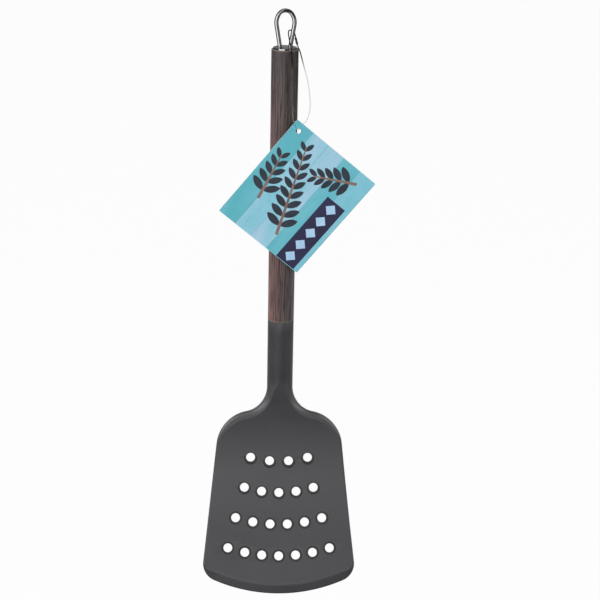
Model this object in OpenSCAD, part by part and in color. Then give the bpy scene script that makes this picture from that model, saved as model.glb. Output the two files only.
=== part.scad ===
// Nylon turner with a pierced, forward-curved blade, a round wood-look handle
// over a steel core, a wire hanging loop and a card swing tag on a clear string.
// It hangs with +Z up along the handle. The food side of the blade faces -Y.
// The origin is the point where a hook bears, inside the top of the wire loop.

/* [Blade] */
// Length of the blade, from the start of its neck fillets to the tip
blade_l = 123.8; // [105:0.2:150]
// Greatest width of the blade, just above its tip corners
blade_w = 90.8; // [84:0.2:110]
// Width across the round shoulders
shoulder_w = 75.6; // [66:0.2:82]
// Radius of the shoulders
shoulder_r = 22; // [16:0.5:28]
// Radius of the fillets between neck and shoulders
fillet_r = 14.7; // [10:0.1:20]
// Radius of the two tip corners
corner_r = 10.8; // [6:0.1:16]
// Radius of the curved tip edge
tip_r = 99; // [80:1:160]
// Thickness of the blade where the neck has run out into it
top_t = 3.4; // [2.4:0.1:5]
// Thickness of the blade at the tip, behind the bevel
tip_t = 2.6; // [1.6:0.1:3]
// Width of the bevel along the tip edge
bevel_w = 6; // [2:0.5:10]
// Thickness that the bevel leaves at the tip edge
lip_t = 0.8; // [0.5:0.1:1.3]
// Width of the soft band along the flare between neck and shoulders, on the food side
band_w = 3.4; // [1.5:0.1:4.5]

/* [Bend] */
// Radius of the forward curve on the food side
bend_r = 174; // [120:1:300]
// Angle through which the blade curves forward
bend_a = 26; // [5:1:35]
// Distance from the start of the neck fillets down to the start of the curve
bend_drop = 8.2; // [2:0.2:20]

/* [Holes] */
// Number of holes in each row, from the neck to the tip
row_count = [4, 5, 6, 7];
// Spacing of the holes along a row
hole_pitch = 10.4; // [9.6:0.1:11.4]
// Spacing in each row, as a share of that spacing
row_pitch_shares = [1.1, 1, 1, 0.98];
// Radius of the arc on which the lowest row lies
row_r = 100; // [80:1:160]
// Radius of each row's arc, as a share of that radius
row_r_shares = [0.64, 0.72, 0.9, 1];
// Distance from the tip edge up to the middle of the lowest row
row_lift = 22.3; // [14:0.1:30]
// Distance from one row to the next
row_step = 18.8; // [14:0.1:22]
// Diameter of a hole on the food side
hole_front_d = 7.1; // [6.4:0.1:8.6]
// Diameter of a hole on the back
hole_back_d = 5.3; // [4:0.1:6.2]

/* [Neck] */
// Diameter of the round neck
neck_d = 15.3; // [14.8:0.1:20]
// Length of the neck from the handle to the start of its fillets
neck_l = 42.7; // [38:0.1:70]
// Length over which the neck thins out into the blade
taper_l = 38; // [30:1:60]
// Depth of the socket in the neck for the steel core
socket_l = 28; // [15:1:30]

/* [Handle] */
// Length of the wood-look sleeve
sleeve_l = 160.2; // [120:0.2:200]
// Diameter of the steel core tube
core_d = 11; // [10.2:0.1:12]
// Wall of the steel core tube
core_wall = 0.8; // [0.5:0.1:1]
// Chamfer round the upper end of the sleeve
end_chamfer = 0.6; // [0.3:0.1:0.7]

/* [End cap and plug] */
// Diameter of the polished cap in the end of the handle
cap_d = 13.4; // [12.6:0.1:13.6]
// Thickness of the cap
cap_t = 1.8; // [1.3:0.1:2.2]
// Height by which the cap stands above the sleeve
cap_rise = 0.8; // [0.2:0.1:1]
// Length of the plug that holds the wire legs inside the core
plug_l = 18; // [16:1:30]

/* [Hanging loop] */
// Diameter of the loop's wire
wire_d = 2.4; // [2:0.1:2.7]
// Width across the outside of the loop
loop_w = 12.5; // [11.5:0.1:16]
// Radius of the wire's centreline over the crown of the loop
crown_r = 4.3; // [3.6:0.1:4.8]
// Half of the angle that the crown arc turns through
crown_a = 55; // [45:1:60]
// Inward lean of the loop's legs
leg_lean = 9.6; // [8:0.1:14]
// Distance between the legs where they enter the cap
leg_pitch = 6; // [5.2:0.1:6.2]
// Radius of the small bend that stands each leg upright
leg_bend_r = 6; // [4:0.5:8]
// Length of upright leg below the small bend
leg_in_l = 15; // [8:0.5:15]

/* [Swing tag] */
// Long side of the card
card_l = 69; // [50:1:90]
// Short side of the card
card_w = 58.4; // [40:0.2:80]
// Thickness of the card
card_t = 0.5; // [0.3:0.1:0.6]
// Distance from the card's two upper edges to the middle of its hole
card_inset = 4.7; // [4:0.1:8]
// Diameter of the hole in the card
card_hole_d = 3; // [2.6:0.1:4]
// Diameter of the clear string
string_d = 0.7; // [0.5:0.1:0.7]
// Diameter of the lock that joins the string's ends
lock_d = 1.3; // [1.1:0.1:2]

/* [Hidden] */
$fn = 64;

// Clearances and overruns
cut = 1;
leg_play = 0.1;
leg_stub = 0.3;
seat_gap = 0.3;
loft_lap = 1;
loft_shy = 0.01;

// The wire loop, on its centreline, in the plane y = 0
wire_r = wire_d / 2;
half_loop = loop_w / 2 - wire_r;
flank_r = (half_loop - crown_r * sin(crown_a)) / (1 - sin(crown_a));
crown_z = wire_r - crown_r;
flank_x = (crown_r - flank_r) * sin(crown_a);
flank_z = crown_z + (crown_r - flank_r) * cos(crown_a);
leg_top = [flank_x + flank_r * cos(leg_lean), flank_z - flank_r * sin(leg_lean)];
leg_foot_x = leg_pitch / 2 + leg_bend_r * (1 - cos(leg_lean));
leg_l = (leg_top[0] - leg_foot_x) / sin(leg_lean);
leg_foot_z = leg_top[1] - leg_l * cos(leg_lean);
stub_z = leg_foot_z - leg_bend_r * sin(leg_lean);

// Heights along the handle
handle_z = stub_z - leg_stub;
sleeve_z = handle_z - cap_rise;
core_z = handle_z - cap_t;
neck_z = sleeve_z - sleeve_l;
blade_z = neck_z - neck_l;
bend_z = blade_z - bend_drop;
core_l = core_z - neck_z + socket_l;

// Right half of the wire's centreline, from the crown down to the end inside the plug
crown_steps = 7;
flank_steps = 6;
bend_steps = 2;
wire_sides = 16;
function wire_arc(x, z, r, a0, a1, steps) =
    [for (i = [1:steps]) let (a = a0 + (a1 - a0) * i / steps)
        [x + r * cos(a), 0, z + r * sin(a)]];
right_wire = concat(
    wire_arc(0, crown_z, crown_r, 90, 90 - crown_a, crown_steps),
    wire_arc(flank_x, flank_z, flank_r, 90 - crown_a, -leg_lean, flank_steps),
    [[leg_foot_x, 0, leg_foot_z]],
    wire_arc(leg_pitch / 2 + leg_bend_r, stub_z, leg_bend_r, 180 - leg_lean, 180, bend_steps),
    [[leg_pitch / 2, 0, stub_z - leg_in_l]]);
wire_line = concat([for (i = [len(right_wire) - 1:-1:0]) mirrored(right_wire[i])],
                   [[0, 0, crown_z + crown_r]], right_wire);

// The blade's half outline. It runs down from the neck as s, measured from the start of
// the fillets along the food side, and x, measured from the middle. Every arc is tangent
// to the next: fillet, shoulder, straight side, tip corner, tip edge.
neck_r = neck_d / 2;
fillet_x = neck_r + fillet_r;
shoulder_x = shoulder_w / 2 - shoulder_r;
shoulder_s = sqrt((fillet_r + shoulder_r) ^ 2 - (fillet_x - shoulder_x) ^ 2);
corner_x = blade_w / 2 - corner_r;
tip_s = blade_l - tip_r;
corner_s = tip_s + sqrt((tip_r - corner_r) ^ 2 - corner_x ^ 2);
side_run = norm([corner_s - shoulder_s, corner_x - shoulder_x]);
slope_a = acos((fillet_x - shoulder_x) / (fillet_r + shoulder_r));
side_a = atan2(corner_x - shoulder_x, corner_s - shoulder_s)
       - asin((shoulder_r - corner_r) / side_run);
edge_a = -atan2(corner_s - tip_s, corner_x);

// Steps along each stretch of the outline
lead_steps = 3;
fillet_steps = 8;
shoulder_steps = 11;
side_steps = 13;
corner_steps = 8;
edge_steps = 7;
round_steps = 5;
// The rounded edge stops just short of flat, so that both halves of the neck stay apart
round_end_a = 87;
// Along the flare it stops sooner, and leaves a crease where it meets the flat food side
band_end_a = 58;
// Length over which the band grows out of the round neck, as a share of the thinning length
band_grow_share = 0.3;
// Where the band starts to narrow and the length over which it runs out, as such shares
band_fade_share = 0.45;
band_run_share = 0.42;
// How far above the fillets the neck starts to thin, as a share of the thinning length
taper_lead_share = 0.2;
// Depth of the rounded edge as a share of half the thickness, once the neck has run out
side_round_share = 0.55;
// Radius of the softened corners of the tip edge, as a share of the lip
lip_round_share = 0.3;
// How near the last pair of outline points comes to the middle, in degrees of the tip arc
edge_end_a = -89.6;

function lerp(a, b, f) = a + (b - a) * f;
function mirrored(p) = [-p[0], p[1], p[2]];
function clamp(v) = min(max(v, 0), 1);
function smooth(f) = f * f * (3 - 2 * f);
// Point at the heading a on an arc round [s, x] that curves away from the outline's outside
function arc_point(s, x, r, a) = [s - r * sin(a), x + r * cos(a), a];
function arc_points(s, x, r, a0, a1, steps) =
    [for (i = [1:steps]) arc_point(s, x, r, lerp(a0, a1, i / steps))];

taper_lead = taper_l * taper_lead_share;
side_top = arc_point(shoulder_s, shoulder_x, shoulder_r, side_a);
side_end = arc_point(corner_s, corner_x, corner_r, side_a);

// The outline as [s, x, heading], where a heading of 0 runs straight down
outline = concat(
    [[-taper_lead - loft_lap, neck_r - loft_shy, 0]],
    [for (i = [0:lead_steps]) [-taper_lead * (1 - i / lead_steps), neck_r - loft_shy, 0]],
    [for (i = [1:fillet_steps]) let (a = slope_a * i / fillet_steps)
        [fillet_r * sin(a), fillet_x - fillet_r * cos(a), a]],
    arc_points(shoulder_s, shoulder_x, shoulder_r, slope_a, side_a, shoulder_steps),
    [for (i = [1:side_steps]) lerp(side_top, side_end, i / side_steps)],
    arc_points(corner_s, corner_x, corner_r, side_a, edge_a, corner_steps),
    arc_points(tip_s, 0, tip_r, edge_a, edge_end_a, edge_steps));

// Thickness at s: the neck's diameter, easing into a blade that thins evenly to the tip
function plate_t(s) = lerp(top_t, tip_t, clamp(s / blade_l));
function thickness(s) =
    lerp(neck_d - 2 * loft_shy, plate_t(s), smooth(clamp((s + taper_lead) / taper_l)));

// A point on the head from its place along the food side, across it, and behind it
bend_l = bend_r * bend_a * PI / 180;
function lean_at(s) = min(max(s - bend_drop, 0), bend_l) / bend_r * 180 / PI;
function place(s, x, behind) =
    let (a = lean_at(s), above = min(s - bend_drop, 0), past = max(s - bend_drop - bend_l, 0))
    [x,
     -neck_r - bend_r * (1 - cos(a)) - past * sin(a) + behind * cos(a),
     bend_z - above - bend_r * sin(a) - past * cos(a) - behind * sin(a)];

// The edge's section at an outline point, as [inset, depth behind the food side].
// side is 1 on the food side and -1 on the back, and k runs from the rim inwards.
function rim_round(t, deep, end_a, side, k) =
    let (a = end_a * k / round_steps)
    [deep * (1 - cos(a)) / (1 - cos(end_a)), t / 2 * (1 - side * sin(a) / sin(end_a))];
function rim_bevel(t, side, k) =
    let (soft = lip_t * lip_round_share)
    k == 0 ? [0, t - lip_t / 2]
    : side < 0 ? [soft * k, t]
    : let (f = (k - 1) / (round_steps - 1)) [lerp(soft, bevel_w, f), (t - lip_t) * (1 - f)];
function rim(p, side, k) =
    let (s = p[0] + thickness(p[0]) / 2 * sin(p[2]),
         t = thickness(s),
         run_out = smooth(clamp((p[0] + taper_lead) / (taper_l + taper_lead))),
         deep = t / 2 * (1 - cos(round_end_a)) * lerp(1, side_round_share, run_out),
         grow = smooth(clamp((p[0] + taper_lead) / taper_l / band_grow_share)),
         fade = smooth(clamp((p[0] / taper_l - band_fade_share) / band_run_share)),
         band = side > 0 ? grow * (1 - fade) : 0,
         round = rim_round(t, lerp(deep, band_w, band), lerp(round_end_a, band_end_a, band),
                           side, k),
         bevel = smooth(clamp((side_a - p[2]) / (side_a - edge_a))),
         q = lerp(round, rim_bevel(t, side, k), bevel))
    place(p[0] + q[0] * sin(p[2]), p[1] - q[0] * cos(p[2]), q[1]);
// One closed ring of points for each outline point: rim, food side, rim, back
ring_n = 4 * round_steps + 2;
function ring(p) = concat(
    [for (k = [0:round_steps]) rim(p, 1, k)],
    [for (k = [round_steps:-1:0]) mirrored(rim(p, 1, k))],
    [for (k = [1:round_steps]) mirrored(rim(p, -1, k))],
    [for (k = [round_steps:-1:1]) rim(p, -1, k)]);
loft_points = [for (p = outline) each ring(p)];
last_ring = (len(outline) - 1) * ring_n;
function back_right(k) = last_ring + (k == 0 ? 0 : ring_n - k);
loft_faces = concat(
    [[for (j = [0:ring_n - 1]) j]],
    [for (i = [0:len(outline) - 2], j = [0:ring_n - 1])
        let (a = i * ring_n + j, b = i * ring_n + (j + 1) % ring_n)
        [b, a, a + ring_n, b + ring_n]],
    [for (k = [0:round_steps - 1]) let (m = last_ring + 2 * round_steps + 1)
        [last_ring + k + 1, last_ring + k, m - k, m - k - 1]],
    [for (k = [0:round_steps - 1]) let (m = last_ring + 2 * round_steps + 1)
        [back_right(k), back_right(k + 1), m + k + 1, m + k]]);

// A round bar along a line of points. Its rings carry one direction along without twisting.
function unit(v) = v / norm(v);
function headings(line) = [for (i = [0:len(line) - 1])
    unit(line[min(i + 1, len(line) - 1)] - line[max(i - 1, 0)])];
function carried(h) = [for (i = 0, v = unit(cross(h[0], [0, 1, 0])); i < len(h);
    i = i + 1, v = i < len(h) ? unit(v - (v * h[i]) * h[i]) : v) v];
module tube(line, d, n) {
    h = headings(line);
    v = carried(h);
    last = len(line) - 1;
    points = [for (i = [0:last], j = [0:n - 1]) let (a = 360 * j / n)
        line[i] + d / 2 * (cos(a) * v[i] + sin(a) * cross(h[i], v[i]))];
    faces = concat(
        [[for (j = [0:n - 1]) j]],
        [for (i = [0:last - 1], j = [0:n - 1])
            let (a = i * n + j, b = i * n + (j + 1) % n) [b, a, a + n, b + n]],
        [[for (j = [n - 1:-1:0]) last * n + j]]);
    polyhedron(points, faces);
}

// A conical hole through the blade at s and x, widest on the food side
module blade_hole(s, x) {
    t = thickness(s);
    spread = (hole_back_d - hole_front_d) / 2 / t;
    translate(place(s, x, 0)) rotate([-90 - lean_at(s), 0, 0]) translate([0, 0, -cut])
        cylinder(h = t + 2 * cut, r1 = hole_front_d / 2 - spread * cut,
                 r2 = hole_back_d / 2 + spread * cut);
}

module blade_holes() {
    rows = len(row_count);
    for (i = [0:rows - 1]) {
        mid_s = blade_l - row_lift - row_step * (rows - 1 - i);
        r = row_r * row_r_shares[i];
        for (j = [0:row_count[i] - 1]) {
            x = hole_pitch * row_pitch_shares[i] * (j - (row_count[i] - 1) / 2);
            blade_hole(mid_s - r + sqrt(r ^ 2 - x ^ 2), x);
        }
    }
}

// Nylon moulding: blade, neck and the socket that the steel core is moulded into
module turner_head() {
    color([0.25, 0.25, 0.26]) difference() {
        union() {
            translate([0, 0, blade_z + taper_lead])
                cylinder(h = neck_l - taper_lead, r = neck_r);
            polyhedron(loft_points, loft_faces);
        }
        translate([0, 0, neck_z - socket_l]) cylinder(h = socket_l + cut, d = core_d);
        blade_holes();
    }
}

// Steel tube from the cap down into the neck
module core_tube() {
    color([0.72, 0.72, 0.74]) translate([0, 0, core_z - core_l]) difference() {
        cylinder(h = core_l, d = core_d);
        translate([0, 0, -cut]) cylinder(h = core_l + 2 * cut, d = core_d - 2 * core_wall);
    }
}

// Wood-look sleeve over the core, with a seat for the cap in its upper end
module handle_sleeve() {
    r = neck_d / 2;
    color([0.38, 0.31, 0.29]) rotate_extrude()
        polygon([[core_d / 2, neck_z], [r, neck_z], [r, sleeve_z - end_chamfer],
                 [r - end_chamfer, sleeve_z], [cap_d / 2, sleeve_z],
                 [cap_d / 2, core_z], [core_d / 2, core_z]]);
}

// Plug inside the core that grips both wire legs
module end_plug() {
    leg_depth = leg_in_l - leg_stub - cap_t;
    color([0.2, 0.2, 0.21]) difference() {
        translate([0, 0, core_z - plug_l])
            cylinder(h = plug_l, d = core_d - 2 * core_wall);
        for (side = [-1, 1])
            translate([side * leg_pitch / 2, 0, core_z - leg_depth])
                cylinder(h = leg_depth + cut, d = wire_d);
    }
}

// Polished cap, with a clear hole for each leg
module end_cap() {
    color([0.8, 0.8, 0.82]) difference() {
        translate([0, 0, core_z]) cylinder(h = cap_t, d = cap_d);
        for (side = [-1, 1])
            translate([side * leg_pitch / 2, 0, core_z - cut])
                cylinder(h = cap_t + 2 * cut, d = wire_d + 2 * leg_play);
    }
}

// Bent wire loop, drawn in towards the handle
module hanging_loop() {
    color([0.8, 0.8, 0.82]) tube(wire_line, wire_d, wire_sides);
}

// The string's route: from the lock down beside the handle, behind the card, through its
// hole, up in front of the handle, round the right leg of the loop and back to the lock
route = [
    [6.6, -1.6, -17.1], [7.1, -2.5, -18.5], [8.1, -3.1, -20.6], [9, -3.5, -23.6],
    [10.1, -3.9, -27.6], [11.4, -4.2, -32.2], [12.6, -4.5, -36.6], [13.5, -4.9, -41],
    [14.1, -5.3, -45.4], [14.4, -5.7, -50], [14.1, -6.1, -54.2], [13.1, -6.4, -57.9],
    [11.8, -6.6, -60.2], [10.3, -6.6, -61.7], [9.1, -6.8, -62.8], [8.4, -7.4, -63.7],
    [7.9, -8.3, -64], [7.4, -9.2, -63.7], [6.8, -9.8, -62.8], [6.1, -10, -61.4],
    [5.4, -9.9, -59.2], [4.8, -9.7, -55.4], [4.4, -9.4, -49.6], [4.1, -9.1, -42],
    [3.9, -8.8, -34], [3.7, -8.6, -27], [3.4, -8.3, -22], [3, -7.3, -18.4],
    [2.5, -5.3, -15.7], [2, -3, -13.3], [1.7, -1.1, -11.3], [2, 0.7, -10.1],
    [3, 2.1, -10], [4.3, 2.65, -10.7], [5.25, 2.35, -11.9], [5.65, 1.57, -13.05],
    [5.8, 0.8, -14.1]];
// The route's point inside the card's hole
hook = route[16];
string_sides = 8;

// Points halfway along the smooth curve through the route, between its own points
function between(i) = let (n = len(route) - 1)
    (9 * (route[i] + route[i + 1]) - route[max(i - 1, 0)] - route[min(i + 2, n)]) / 16;
string_line = concat(
    [for (i = [0:len(route) - 2]) each
        i == 0 || i == len(route) - 2 ? [route[i]] : [route[i], between(i)]],
    [route[len(route) - 1]]);

// Clear string, tied round the loop's right leg
module tag_string() {
    color([0.9, 0.92, 0.94, 0.5]) tube(string_line, string_d, string_sides);
}

// Barrel that locks the string's two ends together
module string_lock() {
    run = route[0] - route[len(route) - 1];
    color([0.15, 0.15, 0.16]) translate(route[len(route) - 1])
        rotate([0, acos(run[2] / norm(run)), atan2(run[1], run[0])])
            cylinder(h = norm(run), d = lock_d);
}

// Card, hung by its hole with its middle plumb below the string
module tag_card() {
    turn = atan2(card_l / 2 - card_inset, card_w / 2 - card_inset);
    hole_drop = (card_hole_d - string_d) / 2 - seat_gap;
    color([0.35, 0.72, 0.75])
        translate([hook[0], hook[1] + card_t / 2, hook[2] - hole_drop])
            rotate([90, 0, 0]) rotate([0, 0, turn]) difference() {
                translate([card_inset - card_l, card_inset - card_w, 0])
                    cube([card_l, card_w, card_t]);
                translate([0, 0, -cut])
                    cylinder(h = card_t + 2 * cut, d = card_hole_d);
            }
}

turner_head();
core_tube();
handle_sleeve();
end_plug();
end_cap();
hanging_loop();
tag_string();
string_lock();
tag_card();
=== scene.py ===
# %% [markdown]
# # A nylon turner, dressed for its portrait
#
# The turner hangs by its wire loop: a pierced nylon blade, a wood-look handle over a steel
# core, a polished cap, and a swing tag on a clear string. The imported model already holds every
# piece at its true size, so this lesson models the surfaces that show more finely and gives
# each one the finish of its real material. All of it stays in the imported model's frame.

import math

import bmesh
import bpy
from bmesh.types import BMEdge, BMVert
from mathutils import Matrix, Vector


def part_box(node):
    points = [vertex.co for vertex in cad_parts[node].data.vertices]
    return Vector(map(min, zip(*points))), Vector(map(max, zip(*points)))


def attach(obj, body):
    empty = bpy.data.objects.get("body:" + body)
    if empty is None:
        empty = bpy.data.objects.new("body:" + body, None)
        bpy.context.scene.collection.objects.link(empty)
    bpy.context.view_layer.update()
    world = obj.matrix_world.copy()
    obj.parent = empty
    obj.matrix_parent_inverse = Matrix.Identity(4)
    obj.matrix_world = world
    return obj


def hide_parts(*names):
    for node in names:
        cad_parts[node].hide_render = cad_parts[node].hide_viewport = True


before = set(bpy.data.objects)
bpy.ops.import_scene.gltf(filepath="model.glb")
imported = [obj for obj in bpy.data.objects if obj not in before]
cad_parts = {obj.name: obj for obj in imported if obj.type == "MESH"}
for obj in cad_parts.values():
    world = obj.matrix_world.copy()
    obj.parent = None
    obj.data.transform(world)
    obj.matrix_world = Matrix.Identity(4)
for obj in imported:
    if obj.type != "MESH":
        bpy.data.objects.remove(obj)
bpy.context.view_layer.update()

# %% [markdown]
# ## Millimetres in, metres out
#
# A kitchen tool is drawn in millimetres, and Blender works in metres. One function lets every
# size below be written as a maker would say it, and another puts things in the scene.

# %% Units
MM = 0.001


def mm(*values):
    """A point or direction given in millimetres."""
    return Vector([value * MM for value in values])


def in_scene(name, data):
    """An object that shows this data."""
    made = bpy.data.objects.new(name, data)
    bpy.context.collection.objects.link(made)
    return made


print("one millimetre is", MM, "m")

# %% [markdown]
# ## The camera
#
# The picture was taken from a little above and to the left, with a long lens and a slight
# roll. These numbers were fitted to the outline and the holes, so the turner lands on the same
# spots of the picture. The lens is shifted because the turner stands left of the middle.

# %% Camera at the photograph's viewing angle
CAMERA_SIDE, CAMERA_HEIGHT, CAMERA_ROLL = -1.87, 19.16, 0.91
CAMERA_DISTANCE = 944.6 * MM
CAMERA_TARGET = mm(0, 0, -168.4)
LENS_MM, SENSOR_MM = 96.4, 36
IMAGE_PX, OBJECT_LEFT_PX = 600, 18.9


def direction(side_deg, height_deg):
    """A direction away from the turner: 0, 0 is level, straight out from the food side."""
    side, height = math.radians(side_deg), math.radians(height_deg)
    return Vector((math.sin(side) * math.cos(height), -math.cos(side) * math.cos(height),
                   math.sin(height)))


def facing(place, aim):
    """A matrix that puts a thing at a place and points its -Z at the aim."""
    return (Matrix.Translation(place)
            @ (place - aim).to_track_quat("Z", "Y").to_matrix().to_4x4())


camera = in_scene("camera", bpy.data.cameras.new("camera"))
camera.data.lens, camera.data.sensor_width = LENS_MM, SENSOR_MM
camera.data.shift_x = OBJECT_LEFT_PX / IMAGE_PX
camera_place = CAMERA_TARGET + direction(CAMERA_SIDE, CAMERA_HEIGHT) * CAMERA_DISTANCE
camera.matrix_world = (facing(camera_place, CAMERA_TARGET)
                       @ Matrix.Rotation(math.radians(CAMERA_ROLL), 4, "Z"))
bpy.context.scene.camera = camera
print("camera at", [round(c, 4) for c in camera_place])

# %% [markdown]
# ## The string
#
# The swing tag hangs on a clear nylon filament 0.7 mm thick. It leaves its lock beside the wire
# loop, falls in a free curve to the card's hole, and goes back up in front of the handle and
# round the loop's right leg. A filament is the same all along, so one curve with a round
# section makes it. The route's points are in millimetres.

# %% The string's route and curve
STRING_D = 0.7
STRING_ROUTE = [
    (6.6, -1.6, -17.1), (7.1, -2.5, -18.5), (8.1, -3.1, -20.6), (9, -3.5, -23.6),
    (10.1, -3.9, -27.6), (11.4, -4.2, -32.2), (12.6, -4.5, -36.6), (13.5, -4.9, -41),
    (14.1, -5.3, -45.4), (14.4, -5.7, -50), (14.1, -6.1, -54.2), (13.1, -6.4, -57.9),
    (11.8, -6.6, -60.2), (10.3, -6.6, -61.7), (9.1, -6.8, -62.8), (8.4, -7.4, -63.7),
    (7.9, -8.3, -64), (7.4, -9.2, -63.7), (6.8, -9.8, -62.8), (6.1, -10, -61.4),
    (5.4, -9.9, -59.2), (4.8, -9.7, -55.4), (4.4, -9.4, -49.6), (4.1, -9.1, -42),
    (3.9, -8.8, -34), (3.7, -8.6, -27), (3.4, -8.3, -22), (3, -7.3, -18.4),
    (2.5, -5.3, -15.7), (2, -3, -13.3), (1.7, -1.1, -11.3), (2, 0.7, -10.1),
    (3, 2.1, -10), (4.3, 2.65, -10.7), (5.25, 2.35, -11.9), (5.65, 1.57, -13.05),
    (5.8, 0.8, -14.1)]


def string_curve():
    """One open Bezier spline with a round section."""
    curve = bpy.data.curves.new("string", "CURVE")
    curve.dimensions = "3D"
    curve.bevel_depth = STRING_D / 2 * MM
    curve.bevel_resolution = 3
    curve.resolution_u = 6
    curve.use_fill_caps = True
    spline = curve.splines.new("BEZIER")
    spline.bezier_points.add(len(STRING_ROUTE) - 1)
    for point, place in zip(spline.bezier_points, STRING_ROUTE):
        point.co = mm(*place)
        point.handle_left_type = point.handle_right_type = "AUTO"
    return in_scene("string", curve)


string = string_curve()
print("string points:", len(STRING_ROUTE))

# %% [markdown]
# ## Colours and nodes
#
# A material is a small network of nodes. Two helpers carry them all: one turns a colour as
# picked on a screen into linear numbers, and one adds a node, where an input that is another
# node's socket becomes a link. The others are short names for nodes that come up often.

# %% Colour and node helpers
NOISE_LOW, NOISE_HIGH = 0.3, 0.7


def srgb(hex_colour):
    """A hex colour as linear red, green, blue and full alpha."""
    parts = [int(hex_colour[i:i + 2], 16) / 255 for i in (1, 3, 5)]
    linear = [p / 12.92 if p <= 0.04045 else ((p + 0.055) / 1.055) ** 2.4 for p in parts]
    return (*linear, 1)


def add_node(tree, kind, inputs=None, **settings):
    """A node of that kind. Inputs go by socket name or number."""
    node = tree.nodes.new(kind)
    for name, value in settings.items():
        setattr(node, name, value)
    for name, value in (inputs or {}).items():
        if isinstance(value, bpy.types.NodeSocket):
            tree.links.new(value, node.inputs[name])
        else:
            node.inputs[name].default_value = value
    return node


def new_tree(name):
    """A material with an empty node tree."""
    material = bpy.data.materials.new(name)
    material.use_nodes = True
    material.node_tree.nodes.clear()
    return material, material.node_tree


def surfaced(tree, inputs, height=None, depth_mm=0.0, strength=0.0):
    """A Principled shader as the surface. A height pattern can tilt its shading."""
    if height is not None:
        bump = add_node(tree, "ShaderNodeBump", {"Height": height, "Strength": strength,
                                                 "Distance": depth_mm * MM})
        inputs["Normal"] = bump.outputs["Normal"]
    shader = add_node(tree, "ShaderNodeBsdfPrincipled", inputs)
    add_node(tree, "ShaderNodeOutputMaterial", {"Surface": shader.outputs["BSDF"]})


def ramp(tree, factor, stops):
    """A colour ramp through (place, hex colour) stops."""
    node = add_node(tree, "ShaderNodeValToRGB", {"Fac": factor})
    elements = node.color_ramp.elements
    while len(elements) < len(stops):
        elements.new(0.5)
    for element, (place, colour) in zip(elements, stops):
        element.position = place
        element.color = srgb(colour)
    return node.outputs["Color"]


def mixed_colour(tree, factor, first, second, blend="MIX"):
    """One colour over another by a factor. The Mix node's colour sockets go by number."""
    node = add_node(tree, "ShaderNodeMix", {0: factor, 6: first, 7: second},
                    data_type="RGBA", blend_type=blend)
    return node.outputs[2]


def mixed_value(tree, factor, first, second):
    """One number over another by a factor."""
    return add_node(tree, "ShaderNodeMix", {0: factor, 2: first, 3: second}).outputs[0]


def calc(tree, operation, *values):
    """The result of one sum on a Math node."""
    return add_node(tree, "ShaderNodeMath", dict(enumerate(values)),
                    operation=operation).outputs[0]


def remapped(tree, value, low, high, new_low=0.0, new_high=1.0):
    """A number moved from one range to another and held there."""
    node = add_node(tree, "ShaderNodeMapRange",
                    {"Value": value, "From Min": low, "From Max": high,
                     "To Min": new_low, "To Max": new_high})
    return node.outputs["Result"]


def spread(tree, noise, new_low, new_high):
    """A noise, which seldom leaves its middle range, spread over a new range."""
    return remapped(tree, noise, NOISE_LOW, NOISE_HIGH, new_low, new_high)


def object_place(tree):
    """The place of a point in the piece's own space."""
    return add_node(tree, "ShaderNodeTexCoord").outputs["Object"]


def split_axes(tree, place):
    """A place's X, Y and Z."""
    return add_node(tree, "ShaderNodeSeparateXYZ", {"Vector": place}).outputs


def scaled_noise(tree, place, scale, detail=2.0, roughness=0.5, distortion=0.0):
    """Noise with one feature for each unit of the scaled place."""
    place = add_node(tree, "ShaderNodeMapping", {"Vector": place, "Scale": scale}).outputs[0]
    node = add_node(tree, "ShaderNodeTexNoise",
                    {"Vector": place, "Scale": 1, "Detail": detail,
                     "Roughness": roughness, "Distortion": distortion})
    return node.outputs["Fac"]


def grain_noise(tree, across, along, **settings):
    """Noise in the piece's own space, with features so many mm across and along the part."""
    scale = [1 / (size * MM) for size in (across, across, along)]
    return scaled_noise(tree, object_place(tree), scale, **settings)


print("helpers ready")

# %% [markdown]
# ## Black nylon
#
# The head is glass-filled nylon from a spark-eroded mould: a dark warm grey with a satin sheen
# that spreads every highlight wide. Two things keep it from looking like paint: the mould's
# fine grain, drawn at 0.35 mm so that it shows, and cloudy patches as large as a coin, where
# the melt cooled at different speeds. Polished pins form the holes, so their walls lack the
# grain; their near-black colour is painted shade inside the holes. One function makes all
# mottled plastics, and later the inks.

# %% Moulded nylon
NYLON_IOR, GRAIN_STRENGTH = 1.53, 0.35
CLOUD, MOULD_GRAIN, NARROW = (14, 14), (0.35, 0.02), (0.35, 0.65)


def mottled(name, size, tones, rough, detail=3, reach=(NOISE_LOW, NOISE_HIGH), grain=None,
            specular=0.5, ior=1.5):
    """Two tones that drift with the gloss in patches of a size, over a grain (width, depth)."""
    material, tree = new_tree(name)
    noise = grain_noise(tree, *size, detail=detail)
    bump = [grain_noise(tree, grain[0], grain[0]), grain[1], GRAIN_STRENGTH] if grain else []
    surfaced(tree, {"Base Color": ramp(tree, noise, list(zip(reach, tones))),
                    "Roughness": spread(tree, noise, *rough),
                    "Specular IOR Level": specular, "IOR": ior}, *bump)
    return material


nylon = mottled("glass_filled_nylon", CLOUD, ("#232226", "#29282c"), (0.4, 0.47),
                grain=MOULD_GRAIN, ior=NYLON_IOR)
plug_nylon = mottled("unfilled_nylon", CLOUD, ("#252528", "#2b2b2e"), (0.4, 0.47),
                     grain=MOULD_GRAIN, ior=NYLON_IOR)
# The hole walls' near-black tones are painted shade inside the holes.
hole_wall_shade_finish = mottled("pin_moulded_nylon_painted_shade", (0.3, 0.8), ("#18181a", "#202023"), (0.5, 0.6),
                      detail=2, reach=NARROW, specular=0.15, ior=NYLON_IOR)
print("nylon:", nylon.name, plug_nylon.name, hole_wall_shade_finish.name)
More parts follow.
